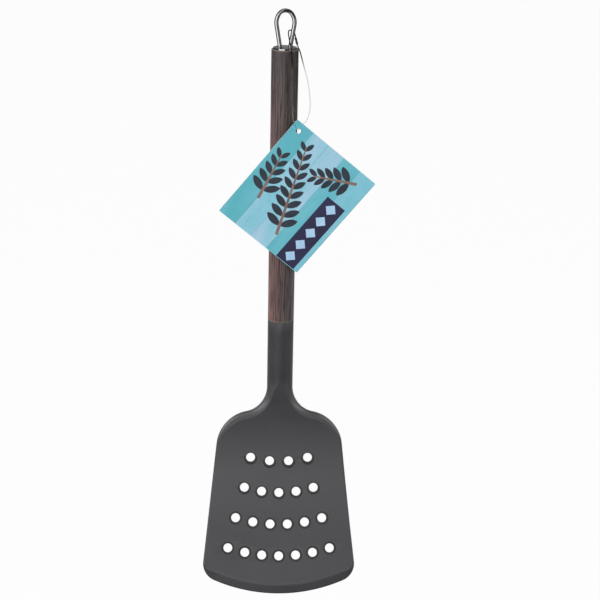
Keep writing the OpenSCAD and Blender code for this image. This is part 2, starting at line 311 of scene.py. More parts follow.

# %% [markdown]
# ## The dark walnut look
#
# The sleeve shows dark walnut: fine streaks down the handle, near-black pores a few
# millimetres long, and a slow drift of tone, from nearly black at the cap to red-brown towards
# the blade. The left side is painted lighter and redder than the right, and reaches red-brown
# sooner: painted light from the left. A tree's fibres are hundreds of times longer than wide,
# so wood grain is a noise stretched along the handle, and a little distortion makes it wander.
# At both ends a thin pale line is painted: wear where handling took the oil off, together with
# a painted highlight on the rounded ends.

# %% Walnut-look finish
sleeve_low, sleeve_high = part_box("handle_sleeve")
# The drift of tone on the left and on the right, whose difference is painted light from the
# left: from a height and its tone to another
TONE_DRIFT_AND_SIDE_LIGHT = ((-25, "#4c4748", -100, "#8a6f6c"), (-60, "#4e4746", -150, "#676063"))


def near_ends(tree, height, share):
    """That share at the sleeve's two ends, fading out within a millimetre."""
    pale_line_full_mm, faded_mm = 0.3, 0.9
    middle, half = (sleeve_high.z + sleeve_low.z) / 2, (sleeve_high.z - sleeve_low.z) / 2
    off = calc(tree, "ABSOLUTE", calc(tree, "SUBTRACT", height, middle))
    return remapped(tree, off, half - faded_mm * MM, half - pale_line_full_mm * MM, 0, share)


def walnut_look():
    """Streaks and pores over a slow drift of tone, in dark oiled walnut, painted lighter on the
    left, with wear and a painted highlight at both ends.
    """
    pore_share, wear_and_highlight_share = 0.5, 0.4
    material, tree = new_tree("dark_oiled_walnut")
    bands = grain_noise(tree, across=2.6, along=60, distortion=0.6)
    streaks = grain_noise(tree, across=0.6, along=24, detail=3, roughness=0.65, distortion=1.1)
    pores = grain_noise(tree, across=0.35, along=6, detail=1)
    axes = split_axes(tree, object_place(tree))
    # The left and right tones differ by painted light: lit on the left, shaded on the right.
    sides = [mixed_colour(tree, remapped(tree, axes["Z"], top * MM, foot * MM),
                          srgb(top_tone), srgb(foot_tone))
             for top, top_tone, foot, foot_tone in TONE_DRIFT_AND_SIDE_LIGHT]
    tone = mixed_colour(tree, remapped(tree, axes["X"], -6 * MM, 3 * MM), *sides)
    for shade in (ramp(tree, bands, [(0.36, "#ffece8"), (0.64, "#e8ece9")]),
                  ramp(tree, streaks, [(0.38, "#787878"), (0.62, "#ffffff")])):
        tone = mixed_colour(tree, 1, tone, shade, blend="MULTIPLY")
    open_pores = remapped(tree, pores, 0.60, 0.72, 0, pore_share)
    tone = mixed_colour(tree, open_pores, tone, srgb("#1d1817"))
    # The pale line at both ends is wear together with a painted highlight on the rounded ends.
    wear_and_highlight = near_ends(tree, axes["Z"], wear_and_highlight_share)
    surfaced(tree, {"Base Color": mixed_colour(tree, wear_and_highlight, tone, srgb("#84786a")),
                    "Roughness": spread(tree, streaks, 0.58, 0.46), "Specular IOR Level": 0.3},
             height=mixed_value(tree, 0.5, streaks, pores), depth_mm=0.06, strength=0.35)
    return material


walnut = walnut_look()
print("walnut:", walnut.name)

# %% [markdown]
# ## Steel, bright and plain
#
# The wire and the cap are stainless steel, polished until they mirror the room, with the
# faint lines of a polishing wheel. The core tube inside the handle is drawn and not polished:
# the same metal, duller, with its lines along the tube.

# %% Steel


def steel(name, colour, dull, bright, line_mm, run_mm):
    """Stainless steel. Its polish varies from dull to bright along the wheel's lines."""
    material, tree = new_tree(name)
    lines = grain_noise(tree, line_mm, run_mm, detail=3)
    surfaced(tree, {"Base Color": srgb(colour), "Metallic": 1,
                    "Roughness": spread(tree, lines, bright, dull)},
             height=lines, depth_mm=0.004, strength=0.15)
    return material


polished = steel("polished_stainless", "#949497", 0.12, 0.05, line_mm=0.3, run_mm=0.6)
drawn = steel("drawn_stainless", "#a9a9ad", 0.42, 0.3, line_mm=0.15, run_mm=20)
print("steel:", polished.name, drawn.name)

# %% [markdown]
# ## The tag's plastics
#
# The string is clear nylon filament: light passes through it and bends, so it nearly vanishes
# against a pale wall. Near the lock its colour is painted dark: painted refraction of the dark
# around it. The lock is a tiny barrel of dark polypropylene, glossy from a polished mould, with
# faint flow marks.

# %% Filament and lock


def clear_filament():
    """Clear drawn nylon, a little uneven in gloss, painted dark near the lock for its
    refraction.
    """
    refraction_dark_from_mm, refraction_dark_full_mm = -32, -24
    material, tree = new_tree("drawn_filament")
    height = split_axes(tree, object_place(tree))["Z"]
    # Near the lock the colour is painted dark: painted refraction of the dark around it.
    painted_refraction_dark = remapped(tree, height, refraction_dark_from_mm * MM, refraction_dark_full_mm * MM)
    surfaced(tree, {"Base Color": mixed_colour(tree, painted_refraction_dark, srgb("#dcdfe0"), srgb("#3a3c40")),
                    "Roughness": spread(tree, grain_noise(tree, 0.5, 4), 0.03, 0.12),
                    "Transmission Weight": 1, "IOR": 1.17})
    return material


filament = clear_filament()
lock_finish = mottled("dark_polypropylene", (0.6, 1.5), ("#1d1d20", "#2b2b2f"), (0.2, 0.34),
                      reach=NARROW, ior=1.49)
print("tag plastics:", filament.name, lock_finish.name)

# %% [markdown]
# ## Pieces and their bodies
#
# Every finished piece goes through one door: it becomes a mesh, is shaded smooth up to a
# crease angle, gets its finish and the body that it moves with, and hides the imported piece
# that it replaces.

# %% Finishing a piece
CREASE_A = math.radians(33)
TOUCHING_MM, MIDDLE_MM = 0.002, 0.005


def as_object(bm, name):
    """A bmesh as a plain object."""
    mesh = bpy.data.meshes.new(name)
    bm.to_mesh(mesh)
    bm.free()
    return in_scene(name, mesh)


def finished(bm, name, material, body, slot, *nodes):
    """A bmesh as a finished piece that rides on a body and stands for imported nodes."""
    piece = as_object(bm, name)
    piece.data.shade_smooth()
    piece.data.set_sharp_from_angle(angle=CREASE_A)
    piece.data.materials.append(material)
    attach(piece, body)
    if nodes:
        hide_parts(*nodes)
    print(f"{name}: {len(piece.data.polygons)} faces")
    return piece


def closed_up(bm):
    """Merges what touches, drops what has no area, and turns every face outwards."""
    bmesh.ops.remove_doubles(bm, verts=bm.verts, dist=TOUCHING_MM * MM)
    bmesh.ops.dissolve_degenerate(bm, edges=bm.edges, dist=TOUCHING_MM * MM)
    bmesh.ops.recalc_face_normals(bm, faces=bm.faces)
    return bm


def only(geometry, *kinds):
    """The parts of a mixed list that are of these kinds."""
    return [part for part in geometry if isinstance(part, kinds)]


def raised(bm, faces, height):
    """Extrudes flat faces to a solid that many millimetres thick."""
    made = bmesh.ops.extrude_face_region(bm, geom=faces)["geom"]
    bmesh.ops.translate(bm, vec=mm(0, 0, height), verts=only(made, BMVert))


def mirrored(bm):
    """Adds the left half to a right half, and joins them at the middle."""
    bmesh.ops.mirror(bm, geom=bm.verts[:] + bm.edges[:] + bm.faces[:],
                     matrix=Matrix.Identity(4), merge_dist=MIDDLE_MM * MM, axis="X")


def spun(profile, sides):
    """A solid of revolution about Z from (radius, height) points, in millimetres."""
    bm = bmesh.new()
    verts = [bm.verts.new(mm(radius, 0, height)) for radius, height in profile]
    edges = [bm.edges.new(pair) for pair in zip(verts, verts[1:])]
    bmesh.ops.spin(bm, geom=verts + edges, cent=(0, 0, 0), axis=(0, 0, 1),
                   angle=math.tau, steps=sides, use_merge=True)
    return closed_up(bm)


def soft_corner(radius, height, size, start_a, steps=4):
    """A quarter turn of a small round, about (radius, height), as profile points."""
    angles = [math.radians(start_a - 90 * i / steps) for i in range(steps + 1)]
    return [(radius + size * math.cos(a), height + size * math.sin(a)) for a in angles]


def bored(blank, cutters, wall_slot=0):
    """The blank less all the cutters, by an exact Boolean. Cut walls get that material slot."""
    together = bmesh.new()
    for cutter in cutters:
        single = as_object(cutter, "cutter")
        together.from_mesh(single.data)
        bpy.data.objects.remove(single)
    for face in together.faces:
        face.material_index = wall_slot
    body, tool = as_object(blank, "blank"), as_object(together, "cutters")
    for used in (body, tool):
        for slot in range(wall_slot + 1):
            used.data.materials.append(None)
    cut = body.modifiers.new("cut", "BOOLEAN")
    cut.operation, cut.solver, cut.object = "DIFFERENCE", "EXACT", tool
    result = bmesh.new()
    result.from_object(body, bpy.context.evaluated_depsgraph_get())
    for used in (body, tool):
        bpy.data.objects.remove(used)
    return closed_up(result)


print("workshop ready")

# %% [markdown]
# ## The blade's sizes
#
# The head takes the most skill. Its half outline is a chain of tangent arcs, and its section
# changes along that chain, from the round neck to a rounded edge and, at the tip, to a wide
# bevel. The whole is carried round the forward curve. These are the sizes that a toolmaker
# would want, in millimetres. The neck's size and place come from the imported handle.

# %% Sizes of the head
NECK_R = sleeve_high.x / MM
HANDLE_Z = sleeve_high.z / MM
NECK_Z = sleeve_low.z / MM
NECK_L, TAPER_L, TAPER_LEAD = 42.7, 38, 7.6
SOCKET_L, CORE_D = 28, 11
BLADE_L, BLADE_W, SHOULDER_W = 123.8, 90.8, 75.6
FILLET_R, SHOULDER_R, CORNER_R, TIP_R = 14.7, 22, 10.8, 99
SHOULDER_X = SHOULDER_W / 2 - SHOULDER_R
TOP_T, TIP_T, LIP_T = 3.4, 2.6, 0.8
BEVEL_W, BEVEL_CREASE_W, BAND_W = 6, 1.3, 3.4
BEND_R, BEND_A, BEND_DROP = 174, math.radians(26), 8.2
BLADE_Z = NECK_Z - NECK_L
print("neck radius", round(NECK_R, 2), "blade starts at", round(BLADE_Z, 2))

# %% [markdown]
# ## The outline as arcs
#
# Each outline point holds how far down the blade it lies, how far from the middle, and its
# heading: 0 runs straight down, a quarter turn straight out. The arcs' centres follow from the
# sizes, because each arc has to leave its neighbour without a kink.

# %% Outline points
NECK_STEPS, LEAD_STEPS, FILLET_STEPS, SHOULDER_STEPS = 5, 6, 22, 30
SIDE_STEPS, CORNER_STEPS, EDGE_STEPS = 34, 22, 24


def lerp(a, b, f):
    """The number f of the way from a to b."""
    return a + (b - a) * f


def clamped(f):
    """A number held between 0 and 1."""
    return min(max(f, 0), 1)


def smooth(f):
    """An eased step from 0 to 1."""
    f = clamped(f)
    return f * f * (3 - 2 * f)


def on_arc(s, x, r, a):
    """The outline point with the heading a on an arc round (s, x). A hollow arc has r < 0."""
    return (s - r * math.sin(a), x + r * math.cos(a), a)


def arc_run(s, x, r, start, end, steps):
    """Points on an arc from after one heading to the other."""
    return [on_arc(s, x, r, lerp(start, end, i / steps)) for i in range(1, steps + 1)]


def straight_run(start, end, steps):
    """Points on a line from after one point to the other."""
    return [tuple(lerp(a, b, i / steps) for a, b in zip(start, end))
            for i in range(1, steps + 1)]


fillet_x = NECK_R + FILLET_R
shoulder_s = math.sqrt((FILLET_R + SHOULDER_R) ** 2 - (fillet_x - SHOULDER_X) ** 2)
corner_x = BLADE_W / 2 - CORNER_R
tip_s = BLADE_L - TIP_R
corner_s = tip_s + math.sqrt((TIP_R - CORNER_R) ** 2 - corner_x ** 2)
flare_a = math.acos((fillet_x - SHOULDER_X) / (FILLET_R + SHOULDER_R))
side_run = math.hypot(corner_s - shoulder_s, corner_x - SHOULDER_X)
SIDE_A = (math.atan2(corner_x - SHOULDER_X, corner_s - shoulder_s)
          - math.asin((SHOULDER_R - CORNER_R) / side_run))
EDGE_A = -math.atan2(corner_s - tip_s, corner_x)


def head_outline():
    """The half outline from the handle down to the middle of the tip edge."""
    top = (-NECK_L, NECK_R, 0)
    neck = [top] + straight_run(top, (-TAPER_LEAD, NECK_R, 0), NECK_STEPS)
    lead = straight_run(neck[-1], (0, NECK_R, 0), LEAD_STEPS)
    fillet = arc_run(0, fillet_x, -FILLET_R, 0, flare_a, FILLET_STEPS)
    shoulder = arc_run(shoulder_s, SHOULDER_X, SHOULDER_R, flare_a, SIDE_A, SHOULDER_STEPS)
    corner = arc_run(corner_s, corner_x, CORNER_R, SIDE_A, EDGE_A, CORNER_STEPS)
    side = straight_run(shoulder[-1], on_arc(corner_s, corner_x, CORNER_R, SIDE_A), SIDE_STEPS)
    edge = arc_run(tip_s, 0, TIP_R, EDGE_A, -math.pi / 2, EDGE_STEPS)
    return neck + lead + fillet + shoulder + side + corner + edge


outline = head_outline()
print("outline points:", len(outline), "widest", round(max(x for s, x, a in outline), 2))

# %% [markdown]
# ## The section along the outline
#
# One function answers a single question: where does the surface lie when you walk inwards
# from an outline point? It blends three shapes. The neck is a full round. Along the flare the
# food side has a rounded band 3.4 mm wide, which meets the flat face in a crease. At the tip
# the food side falls away in a bevel to a thin lip, and a soft crease joins the bevel to the
# face. The bevel stops 6 mm in: much further, and the grid's rows would cross at the tip
# corner. Then `placed` carries the point round the forward curve.

# %% Section and forward curve
FULL_ROUND_A = math.radians(90)
BAND_END_A = math.radians(58)
BAND_GROW_SHARE, BAND_FADE_SHARE, BAND_RUN_SHARE = 0.3, 0.45, 0.42
SIDE_ROUND_SHARE, LIP_ROUND_SHARE, LIP_WALK_SHARE = 0.55, 0.3, 0.2


def thickness(s):
    """How thick the head is, s down from the start of the blade."""
    plate = lerp(TOP_T, TIP_T, clamped(s / BLADE_L))
    return lerp(2 * NECK_R, plate, smooth((s + TAPER_LEAD) / TAPER_L))


def placed(s, x, behind):
    """The point s down the food side, x from the middle and so far behind the food side."""
    bend_l = BEND_R * BEND_A
    a = clamped((s - BEND_DROP) / bend_l) * BEND_A
    above, past = min(s - BEND_DROP, 0), max(s - BEND_DROP - bend_l, 0)
    y = -NECK_R - BEND_R * (1 - math.cos(a)) - past * math.sin(a) + behind * math.cos(a)
    z = -above - BEND_R * math.sin(a) - past * math.cos(a) - behind * math.sin(a)
    return mm(x, y, BLADE_Z - BEND_DROP + z)


def round_rim(t, deep, end_a, side, f):
    """How far in and how far behind the food side a rounded edge lies, f of the way in."""
    a = end_a * f
    return (deep * (1 - math.cos(a)) / (1 - math.cos(end_a)),
            t / 2 * (1 - side * math.sin(a) / math.sin(end_a)))


def bevel_rim(t, side, f):
    """The same for the tip: a round on the lip, then the bevel, then its soft crease."""
    soft = LIP_T * LIP_ROUND_SHARE
    a = FULL_ROUND_A * min(f / LIP_WALK_SHARE, 1)
    g = max(f - LIP_WALK_SHARE, 0) / (1 - LIP_WALK_SHARE)
    run = BEVEL_W - soft
    crease = BEVEL_CREASE_W / run
    inset = soft * (1 - math.cos(a)) + g * run
    rise = LIP_T / 2 * math.sin(a)
    climb = (g - max(g - 1 + crease, 0) ** 2 / (2 * crease)) / (1 - crease / 2)
    if side < 0:
        return (inset, t - LIP_T / 2 + rise)
    return (inset, t - LIP_T / 2 - rise - climb * (t - LIP_T))


def rim(point, side, f):
    """The surface point on the food side (1) or the back (-1), f of the way in."""
    s, x, heading = point
    t = thickness(s + thickness(s) / 2 * math.sin(heading))
    run_out = smooth((s + TAPER_LEAD) / (TAPER_L + TAPER_LEAD))
    deep = t / 2 * lerp(1, SIDE_ROUND_SHARE, run_out)
    grow = smooth((s + TAPER_LEAD) / TAPER_L / BAND_GROW_SHARE)
    fade = smooth((s / TAPER_L - BAND_FADE_SHARE) / BAND_RUN_SHARE)
    band = grow * (1 - fade) if side > 0 else 0
    rounded = round_rim(t, lerp(deep, BAND_W, band), lerp(FULL_ROUND_A, BAND_END_A, band),
                        side, f)
    bevel = smooth((SIDE_A - heading) / (SIDE_A - EDGE_A)) if s > shoulder_s else 0
    inset, behind = (lerp(a, b, bevel) for a, b in zip(rounded, bevel_rim(t, side, f)))
    return (s + inset * math.sin(heading), max(x - inset * math.cos(heading), 0), behind)


print("thickness at neck, shoulder, tip:",
      [round(thickness(s), 2) for s in (-20, 30, BLADE_L)])

# %% [markdown]
# ## Wrapping a grid into the head
#
# The half head is a flat grid, wrapped. One direction of it runs along the outline, the other
# round the section: from the middle of the food side out to the rim and back along the other
# side. A mirror makes the second half. The columns crowd together at the crease, which keeps
# it crisp under smooth shading.

# %% Half head, mirrored
COLUMNS = [0, 0.25, 0.5, 0.75, 0.93, 0.985]
ROUND_STEPS, JOINT_ROUND = 10, 0.15


def section_walk():
    """Each grid row as (side, share of the way in, share of the way across the face)."""
    shares = [i / ROUND_STEPS for i in range(ROUND_STEPS + 1)]
    front = [(1, 1, column) for column in COLUMNS] + [(1, f, 1) for f in reversed(shares)]
    back = [(-1, f, 1) for f in shares[1:]] + [(-1, 1, c) for c in reversed(COLUMNS)]
    return front + back


def half_head():
    """The right half of the head, as a wrapped grid."""
    walk = section_walk()
    along, across = len(outline) - 1, len(walk) - 1
    bm = bmesh.new()
    bmesh.ops.create_grid(bm, x_segments=along, y_segments=across, size=1)
    for vert in bm.verts:
        point = outline[round((vert.co.x + 1) / 2 * along)]
        side, f, column = walk[round((vert.co.y + 1) / 2 * across)]
        s, x, behind = rim(point, side, f)
        vert.co = placed(s, x * column, behind)
    return bm


def whole_head():
    """Both halves, closed at the top and with the sharp top edge broken."""
    bm = half_head()
    mirrored(bm)
    closed_up(bm)
    rim_edges = [e for e in bm.edges if e.is_boundary]
    bmesh.ops.holes_fill(bm, edges=rim_edges, sides=0)
    bmesh.ops.bevel(bm, geom=rim_edges, offset=JOINT_ROUND * MM, segments=2, profile=0.5,
                    affect="EDGES", material=-1)
    return closed_up(bm)


head = whole_head()
print("head:", len(head.faces), "faces, open edges:", sum(e.is_boundary for e in head.edges))

# %% [markdown]
# ## Boring the holes
#
# Four curved rows of holes let the oil run off. Each is conical, wider on the food side, with
# both rims softened by the mould. A cutter is a spun profile that flares out again at both
# faces, so the Boolean leaves the soft rims by itself. The same cut makes the socket for the
# steel core. The cut walls get the second slot, for their near-black finish of painted shade.

# %% Cutters and cut
ROW_COUNT = [4, 5, 6, 7]
HOLE_PITCH, ROW_PITCH_SHARES = 10.4, [1.1, 1, 1, 0.98]
ROW_R, ROW_R_SHARES = 100, [0.64, 0.72, 0.9, 1]
ROW_LIFT, ROW_STEP = 22.3, 18.8
FRONT_D, BACK_D = 7.1, 5.3
RIM_SOFT, OVERRUN, HOLE_SIDES, SOCKET_SIDES = 0.3, 1.2, 40, 64
UP = Vector((0, 0, 1))


def hole_cutter(front_r, back_r, depth):
    """A cutter along +Z that starts at the food side and softens both rims."""
    e = RIM_SOFT
    front = soft_corner(front_r + e, e, -e, 90)
    back = soft_corner(back_r + e, depth - e, -e, 0)
    return spun([(0, -OVERRUN), (front_r + e, -OVERRUN), *front, *back,
                 (back_r + e, depth + OVERRUN), (0, depth + OVERRUN)], HOLE_SIDES)


def drill(radius, start, end, sides):
    """A plain round cutter along +Z between two heights."""
    return spun([(0, start), (radius, start), (radius, end), (0, end)], sides)


def aimed(bm, place, axis=UP):
    """Moves a piece made along +Z to its place and turns it to its axis."""
    turn = UP.rotation_difference(axis).to_matrix().to_4x4()
    bmesh.ops.transform(bm, matrix=Matrix.Translation(place) @ turn, verts=bm.verts)
    return bm


def blade_cutters():
    """One cutter for each hole, square to the curved food side."""
    cutters = []
    for row, count in enumerate(ROW_COUNT):
        middle_s = BLADE_L - ROW_LIFT - ROW_STEP * (len(ROW_COUNT) - 1 - row)
        r = ROW_R * ROW_R_SHARES[row]
        for i in range(count):
            x = HOLE_PITCH * ROW_PITCH_SHARES[row] * (i - (count - 1) / 2)
            s = middle_s - r + math.sqrt(r * r - x * x)
            place = placed(s, x, 0)
            inwards = (placed(s, x, 1) - place).normalized()
            cutter = hole_cutter(FRONT_D / 2, BACK_D / 2, thickness(s))
            cutters.append(aimed(cutter, place, inwards))
    return cutters


cutters = blade_cutters()
print("holes:", len(cutters))
cutters.append(aimed(drill(CORE_D / 2, -SOCKET_L, OVERRUN, SOCKET_SIDES), mm(0, 0, NECK_Z)))
moulding = finished(bored(head, cutters, wall_slot=1), "turner_head_moulding", nylon, "turner",
                    "black_nylon", "turner_head")
moulding.data.materials.append(hole_wall_shade_finish)
print("wall faces:", sum(face.material_index for face in moulding.data.polygons))

# %% [markdown]
# ## The handle sleeve
#
# The sleeve is turned, so it is a spun profile: a bore for the core, a seat for the cap, and
# softened ends. The lower end meets the neck flush, and the tiny rounds on both sides of that
# joint draw the thin line that the eye reads as two materials meeting.

# %% Sleeve
cap_low, cap_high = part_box("end_cap")
CAP_R = cap_high.x / MM
CORE_Z = cap_low.z / MM
END_ROUND, SLEEVE_SIDES = 0.6, 128
sleeve_profile = [
    (CORE_D / 2, NECK_Z),
    *reversed(soft_corner(NECK_R - JOINT_ROUND, NECK_Z + JOINT_ROUND, JOINT_ROUND, 0)),
    *reversed(soft_corner(NECK_R - END_ROUND, HANDLE_Z - END_ROUND, END_ROUND, 90)),
    (CAP_R, HANDLE_Z), (CAP_R, CORE_Z), (CORE_D / 2, CORE_Z), (CORE_D / 2, NECK_Z)]
finished(spun(sleeve_profile, SLEEVE_SIDES), "walnut_sleeve", walnut, "turner",
         "walnut_look", "handle_sleeve")

# %% [markdown]
# ## The cap
#
# A small polished disc closes the handle. It sits in its seat, stands a little proud of the
# wood, and has its edge rounded by the polishing wheel. It is spun, then bored for the wire's
# two legs in the same way as the blade.

# %% Cap
LEG_PITCH, WIRE_D, LEG_PLAY = 6, 2.4, 0.1
CAP_T = cap_high.z / MM - CORE_Z
CAP_ROUND, CAP_SIDES = 0.25, 96
cap_edge = soft_corner(CAP_R - CAP_ROUND, CAP_T - CAP_ROUND, CAP_ROUND, 90)
cap_blank = aimed(spun([(0, 0), (CAP_R, 0), *reversed(cap_edge), (0, CAP_T)], CAP_SIDES),
                  mm(0, 0, CORE_Z))
leg_cutters = [aimed(drill(WIRE_D / 2 + LEG_PLAY, -OVERRUN, CAP_T + OVERRUN, HOLE_SIDES),
                     mm(side * LEG_PITCH / 2, 0, CORE_Z)) for side in (-1, 1)]
finished(bored(cap_blank, leg_cutters), "polished_cap", polished, "turner", "polished_steel",
         "end_cap")

# %% [markdown]
# ## The wire loop
#
# A wire bender makes this loop with a few moves, and so does the script. A circle, the wire's
# section, is spun through the crown, spun again round the wider flank, pushed straight down
# the leg, spun a last few degrees to stand upright, and pushed on into the plug. The left
# half is a mirror image.

# %% Bent wire
WIRE_R = WIRE_D / 2
LOOP_W, CROWN_R, CROWN_A = 12.5, 4.3, math.radians(55)
LEG_LEAN, LEG_BEND_R, LEG_IN_L = math.radians(9.6), 6, 15
WIRE_SIDES, CROWN_STEPS, FLANK_STEPS, FOOT_STEPS = 32, 16, 12, 4
half_loop = LOOP_W / 2 - WIRE_R
flank_r = (half_loop - CROWN_R * math.sin(CROWN_A)) / (1 - math.sin(CROWN_A))
crown_z = WIRE_R - CROWN_R
flank_x = (CROWN_R - flank_r) * math.sin(CROWN_A)
flank_z = crown_z + (CROWN_R - flank_r) * math.cos(CROWN_A)
leg_top_x = flank_x + flank_r * math.cos(LEG_LEAN)
leg_foot_x = LEG_PITCH / 2 + LEG_BEND_R * (1 - math.cos(LEG_LEAN))
leg_l = (leg_top_x - leg_foot_x) / math.sin(LEG_LEAN)
stub_z = (flank_z - flank_r * math.sin(LEG_LEAN) - leg_l * math.cos(LEG_LEAN)
          - LEG_BEND_R * math.sin(LEG_LEAN))


def bend_on(bm, ring, x, z, angle, steps):
    """Spins the wire's last ring on about an axis along Y. A positive angle turns it down."""
    made = bmesh.ops.spin(bm, geom=ring, cent=mm(x, 0, z), axis=(0, 1, 0), angle=angle,
                          steps=steps)
    return made["geom_last"]


def push_on(bm, ring, offset):
    """Extrudes the wire's last ring straight on."""
    made = bmesh.ops.extrude_edge_only(bm, edges=only(ring, BMEdge))["geom"]
    bmesh.ops.translate(bm, vec=offset, verts=only(made, BMVert))
    return only(made, BMVert, BMEdge)


def bent_wire():
    """The right half from the crown down to the end inside the plug, then its mirror."""
    bm = bmesh.new()
    start = (Matrix.Translation(mm(0, 0, crown_z + CROWN_R))
             @ Matrix.Rotation(math.radians(90), 4, "Y"))
    bmesh.ops.create_circle(bm, segments=WIRE_SIDES, radius=WIRE_R * MM, matrix=start)
    ring = bend_on(bm, bm.verts[:] + bm.edges[:], 0, crown_z, CROWN_A, CROWN_STEPS)
    flank_a = math.radians(90) - CROWN_A + LEG_LEAN
    ring = bend_on(bm, ring, flank_x, flank_z, flank_a, FLANK_STEPS)
    lean = Vector((-math.sin(LEG_LEAN), 0, -math.cos(LEG_LEAN)))
    ring = push_on(bm, ring, lean * leg_l * MM)
    ring = bend_on(bm, ring, LEG_PITCH / 2 + LEG_BEND_R, stub_z, -LEG_LEAN, FOOT_STEPS)
    ring = push_on(bm, ring, mm(0, 0, -LEG_IN_L))
    bmesh.ops.edgenet_fill(bm, edges=only(ring, BMEdge))
    mirrored(bm)
    return closed_up(bm)


finished(bent_wire(), "wire_loop", polished, "turner", "polished_steel", "hanging_loop")

# %% [markdown]
# ## Inside the handle
#
# The steel core and the plug are hidden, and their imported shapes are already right. They only
# need their finishes, in case someone opens the handle.

# %% Hidden pieces
for node, finish in (("core_tube", drawn), ("end_plug", plug_nylon)):
    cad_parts[node].data.materials.clear()
    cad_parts[node].data.materials.append(finish)
    print(node, "is", finish.name)

# %% [markdown]
# ## The string and its lock
#
# The curve made above gets its finish and the body that it moves with, and the imported
# string is hidden. The lock is a small barrel with rounded ends and a waist, spun and then
# turned to the line between the string's two ends.

# %% Lock and cord
LOCK_D, LOCK_ROUND, WAIST_DEPTH, LOCK_SIDES = 1.3, 0.2, 0.1, 32
WAIST_SHARES = (0.35, 0.42, 0.58, 0.65)
lock_top, lock_foot = mm(*STRING_ROUTE[-1]), mm(*STRING_ROUTE[0])
lock_l = (lock_foot - lock_top).length / MM
r, e = LOCK_D / 2, LOCK_ROUND
waist = [(radius, lock_l * share) for radius, share in
         zip((r, r - WAIST_DEPTH, r - WAIST_DEPTH, r), WAIST_SHARES)]
lock_profile = [(0, 0), *reversed(soft_corner(r - e, e, e, 0)), *waist,
                *reversed(soft_corner(r - e, lock_l - e, e, 90)), (0, lock_l)]
lock_bm = aimed(spun(lock_profile, LOCK_SIDES), lock_top, lock_foot - lock_top)
lock = finished(lock_bm, "lock_barrel", lock_finish, "string", "lock_plastic", "string_lock")
string.data.materials.append(filament)
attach(string, "string")
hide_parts("tag_string")

# %% [markdown]
# ## The card's print
#
# The tag is coated board, printed on the front with a plain kitchen-shop design: aqua painted
# planks, a navy band with pale diamonds, and dark leaves on brown twigs. The planks are a
# pattern in the card's own UV map, which counts millimetres from the card's corner, so every
# board has a real width.

# %% Coated board
CARD_L, CARD_W, CARD_T = 69, 58.4, 0.5
CARD_INSET, CARD_HOLE_D = 4.7, 3
PLANK_W, SEAM_W = 11.6, 0.35
# The two tones of each ink, or of the bare board, and the width of its mottle in millimetres
INKS = {"uncoated_board": ("#dcdad4", "#eae8e2", 0.6), "navy_ink": ("#201e3c", "#28264a", 8),
        "slate_ink": ("#1c2530", "#2c3342", 5), "twig_ink": ("#6b5550", "#8f7468", 2.5),
        "pale_ink": ("#9fc6e6", "#b2d3ee", 6)}


def printed_planks():
    """Aqua planks that run along the card, each in its own tone, with grain and seams."""
    fibre_l, fibre_w, wash_l, wash_w = 9, 0.7, 22, 9
    fibre_jump, wash_jump = 5, 3
    material, tree = new_tree("coated_print")
    axes = split_axes(tree, add_node(tree, "ShaderNodeUVMap", uv_map="card_mm").outputs["UV"])
    plank = calc(tree, "DIVIDE", axes["Y"], PLANK_W)
    index = calc(tree, "FLOOR", plank)
    tint = add_node(tree, "ShaderNodeTexWhiteNoise", {"W": index},
                    noise_dimensions="1D").outputs["Value"]
    place = add_node(tree, "ShaderNodeCombineXYZ",
                     {"X": axes["X"], "Y": axes["Y"], "Z": index}).outputs[0]
    grain = scaled_noise(tree, place, (1 / fibre_l, 1 / fibre_w, fibre_jump), detail=4)
    wash = scaled_noise(tree, place, (1 / wash_l, 1 / wash_w, wash_jump))
    tone = ramp(tree, mixed_value(tree, 0.45, tint, wash),
                [(0.2, "#57b0be"), (0.42, "#70bccb"), (0.6, "#81c3d5"), (0.8, "#a9cae0")])
    tone = mixed_colour(tree, remapped(tree, grain, 0.58, 0.76, 0, 0.4), tone, srgb("#3f8f99"))
    seam = remapped(tree, calc(tree, "FRACT", plank), SEAM_W / PLANK_W, 0, 0, 0.65)
    surfaced(tree, {"Base Color": mixed_colour(tree, seam, tone, srgb("#2f7d88")),
                    "Roughness": spread(tree, grain, 0.36, 0.42), "Specular IOR Level": 0.35})
    return material


print_finish = printed_planks()
inks = {name: mottled(name, (speck, speck), (dark, pale), (0.36, 0.44), specular=0.3)
        for name, (dark, pale, speck) in INKS.items()}
print("print:", print_finish.name, *inks)

# %% [markdown]
# ## Cutting and placing the card
#
# The card is drawn flat, with its hole at the origin, then extruded to its thickness and hung.
# All that is printed on it is drawn in the same flat space and hung by the same matrix, so the
# print stays on the card whatever its angle.

# %% Card
card_low, card_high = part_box("tag_card")
HOOK_POINT, HANG_PLAY, CARD_CORNER_R = 16, 0.3, 0.5
hook = mm(*STRING_ROUTE[HOOK_POINT])
hole_drop = (CARD_HOLE_D - STRING_D) / 2 - HANG_PLAY
turn_a = math.atan2(CARD_L / 2 - CARD_INSET, CARD_W / 2 - CARD_INSET)
CARD_HANG = (Matrix.Translation((hook.x, (card_low.y + card_high.y) / 2 + CARD_T / 2 * MM,
                                 hook.z - hole_drop * MM))
             @ Matrix.Rotation(math.radians(90), 4, "X") @ Matrix.Rotation(turn_a, 4, "Z"))


def on_card(u, v, up=0.0):
    """A point of the flat card, u and v millimetres from its lower left corner."""
    return mm(u + CARD_INSET - CARD_L, v + CARD_INSET - CARD_W, up)


